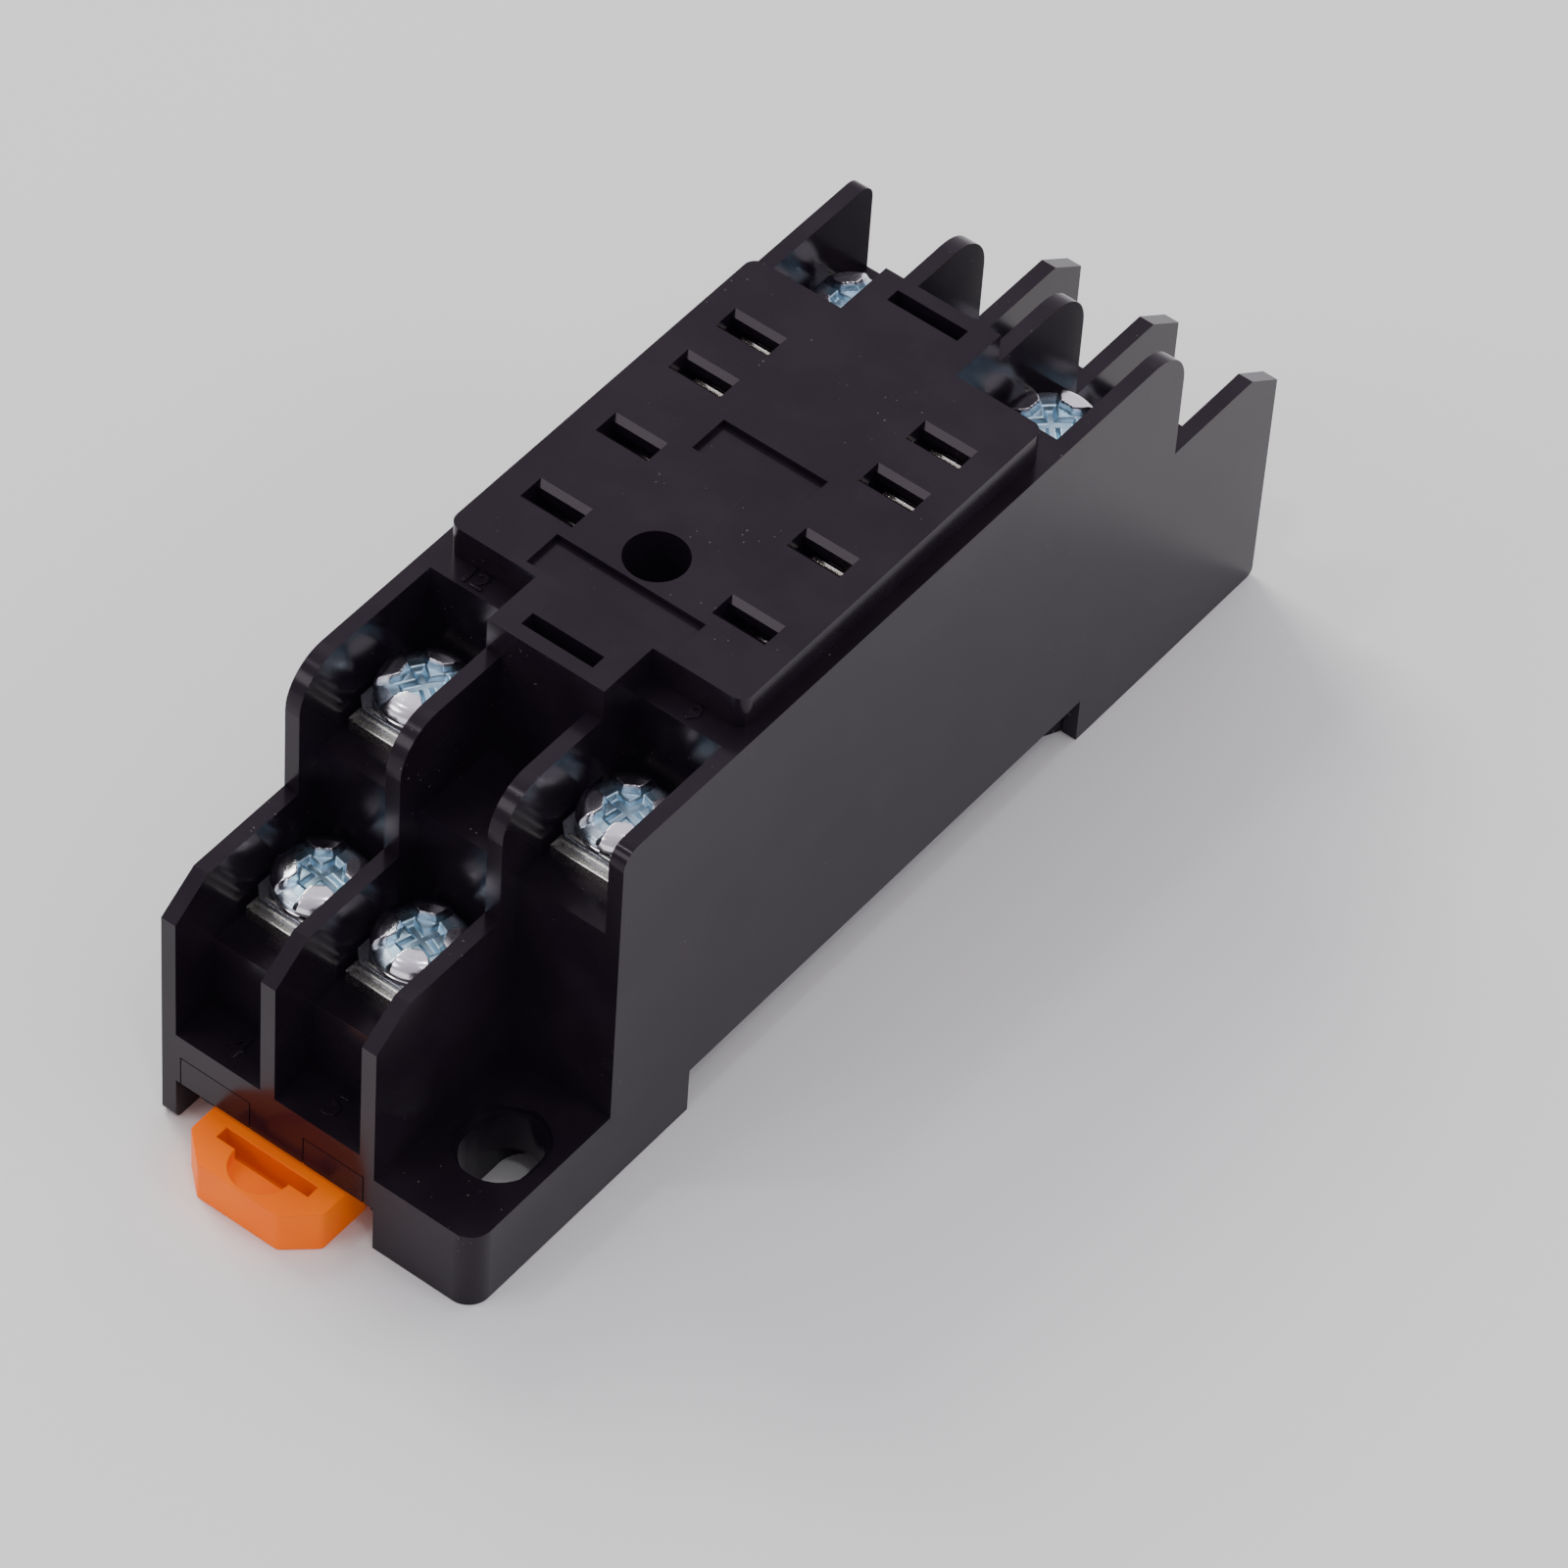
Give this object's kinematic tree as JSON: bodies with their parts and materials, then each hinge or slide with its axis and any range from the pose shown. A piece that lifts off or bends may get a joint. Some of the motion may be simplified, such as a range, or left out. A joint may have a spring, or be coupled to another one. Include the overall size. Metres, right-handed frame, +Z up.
{
  "type": "relay socket",
  "caption": "Black screw-terminal socket for a small plug-in relay, with stepped tiers between thin fins, slots for flat contacts and an orange sliding clip for a mounting rail.",
  "frame": {"origin": "middle of the footprint, halfway between the two mounting slots, on the plane of the back", "axes": "+X across the socket along the rail, +Y along its length away from the rail clip, +Z up out of the panel towards the relay"},
  "size_m": [0.022, 0.0755, 0.0294],
  "materials": {
    "housing_plastic": "satin black moulded plastic with a clear reflection",
    "base_plastic": "satin black moulded plastic",
    "clip_plastic": "orange moulded plastic, soft sheen",
    "screw_steel": "bright zinc with a blue tint",
    "washer_steel": "bright zinc",
    "plate_metal": "tinned strip",
    "contact_metal": "plated spring bronze"
  },
  "bodies": {
    "socket": {"housing": "housing_plastic", "base_plate": "base_plastic", "terminal_plate_1": "plate_metal", "terminal_plate_2": "plate_metal", "terminal_plate_3": "plate_metal", "terminal_plate_4": "plate_metal", "terminal_plate_5": "plate_metal", "terminal_plate_6": "plate_metal", "terminal_plate_7": "plate_metal", "terminal_plate_8": "plate_metal", "contact_clip_1": "contact_metal", "contact_clip_2": "contact_metal", "contact_clip_3": "contact_metal", "contact_clip_4": "contact_metal", "contact_clip_5": "contact_metal", "contact_clip_6": "contact_metal", "contact_clip_7": "contact_metal", "contact_clip_8": "contact_metal"},
    "rail_clip": {"din_clip": "clip_plastic"},
    "clamp_1": {"clamp_washer_1": "washer_steel"},
    "screw_1": {"terminal_screw_1": "screw_steel"},
    "clamp_2": {"clamp_washer_2": "washer_steel"},
    "screw_2": {"terminal_screw_2": "screw_steel"},
    "clamp_3": {"clamp_washer_3": "washer_steel"},
    "screw_3": {"terminal_screw_3": "screw_steel"},
    "clamp_4": {"clamp_washer_4": "washer_steel"},
    "screw_4": {"terminal_screw_4": "screw_steel"},
    "clamp_5": {"clamp_washer_5": "washer_steel"},
    "screw_5": {"terminal_screw_5": "screw_steel"},
    "clamp_6": {"clamp_washer_6": "washer_steel"},
    "screw_6": {"terminal_screw_6": "screw_steel"},
    "clamp_7": {"clamp_washer_7": "washer_steel"},
    "screw_7": {"terminal_screw_7": "screw_steel"},
    "clamp_8": {"clamp_washer_8": "washer_steel"},
    "screw_8": {"terminal_screw_8": "screw_steel"}
  },
  "joints": [
    {"name": "clip_slide", "type": "slide", "parent": "socket", "child": "rail_clip", "axis": [0, -1, 0], "range_m": [0, 0.003], "stiffness_N_per_m": 500},
    {"name": "clamp_lift_1", "type": "slide", "parent": "socket", "child": "clamp_1", "axis": [0, 0, 1], "range_m": [0, 0.0024]},
    {"name": "screw_turn_1", "type": "hinge", "parent": "clamp_1", "child": "screw_1", "pos_m": [-0.007, -0.0189, 0.0221], "axis": [0, 0, 1], "range_deg": [0, 1440]},
    {"name": "clamp_lift_2", "type": "slide", "parent": "socket", "child": "clamp_2", "axis": [0, 0, 1], "range_m": [0, 0.0024]},
    {"name": "screw_turn_2", "type": "hinge", "parent": "clamp_2", "child": "screw_2", "pos_m": [0.007, -0.0189, 0.0221], "axis": [0, 0, 1], "range_deg": [0, 1440]},
    {"name": "clamp_lift_3", "type": "slide", "parent": "socket", "child": "clamp_3", "axis": [0, 0, 1], "range_m": [0, 0.0024]},
    {"name": "screw_turn_3", "type": "hinge", "parent": "clamp_3", "child": "screw_3", "pos_m": [-0.007, -0.0274, 0.014], "axis": [0, 0, 1], "range_deg": [0, 1440]},
    {"name": "clamp_lift_4", "type": "slide", "parent": "socket", "child": "clamp_4", "axis": [0, 0, 1], "range_m": [0, 0.0024]},
    {"name": "screw_turn_4", "type": "hinge", "parent": "clamp_4", "child": "screw_4", "pos_m": [0, -0.0274, 0.014], "axis": [0, 0, 1], "range_deg": [0, 1440]},
    {"name": "clamp_lift_5", "type": "slide", "parent": "socket", "child": "clamp_5", "axis": [0, 0, 1], "range_m": [0, 0.0024]},
    {"name": "screw_turn_5", "type": "hinge", "parent": "clamp_5", "child": "screw_5", "pos_m": [0.007, 0.0189, 0.0221], "axis": [0, 0, 1], "range_deg": [0, 1440]},
    {"name": "clamp_lift_6", "type": "slide", "parent": "socket", "child": "clamp_6", "axis": [0, 0, 1], "range_m": [0, 0.0024]},
    {"name": "screw_turn_6", "type": "hinge", "parent": "clamp_6", "child": "screw_6", "pos_m": [-0.007, 0.0189, 0.0221], "axis": [0, 0, 1], "range_deg": [0, 1440]},
    {"name": "clamp_lift_7", "type": "slide", "parent": "socket", "child": "clamp_7", "axis": [0, 0, 1], "range_m": [0, 0.0024]},
    {"name": "screw_turn_7", "type": "hinge", "parent": "clamp_7", "child": "screw_7", "pos_m": [0.007, 0.0274, 0.014], "axis": [0, 0, 1], "range_deg": [0, 1440]},
    {"name": "clamp_lift_8", "type": "slide", "parent": "socket", "child": "clamp_8", "axis": [0, 0, 1], "range_m": [0, 0.0024]},
    {"name": "screw_turn_8", "type": "hinge", "parent": "clamp_8", "child": "screw_8", "pos_m": [0, 0.0274, 0.014], "axis": [0, 0, 1], "range_deg": [0, 1440]}
  ],
  "couplings": [
    {"joint": "screw_turn_1", "follows": "clamp_lift_1", "rad_per_m": 10472},
    {"joint": "screw_turn_2", "follows": "clamp_lift_2", "rad_per_m": 10472},
    {"joint": "screw_turn_3", "follows": "clamp_lift_3", "rad_per_m": 10472},
    {"joint": "screw_turn_4", "follows": "clamp_lift_4", "rad_per_m": 10472},
    {"joint": "screw_turn_5", "follows": "clamp_lift_5", "rad_per_m": 10472},
    {"joint": "screw_turn_6", "follows": "clamp_lift_6", "rad_per_m": 10472},
    {"joint": "screw_turn_7", "follows": "clamp_lift_7", "rad_per_m": 10472},
    {"joint": "screw_turn_8", "follows": "clamp_lift_8", "rad_per_m": 10472}
  ]
}
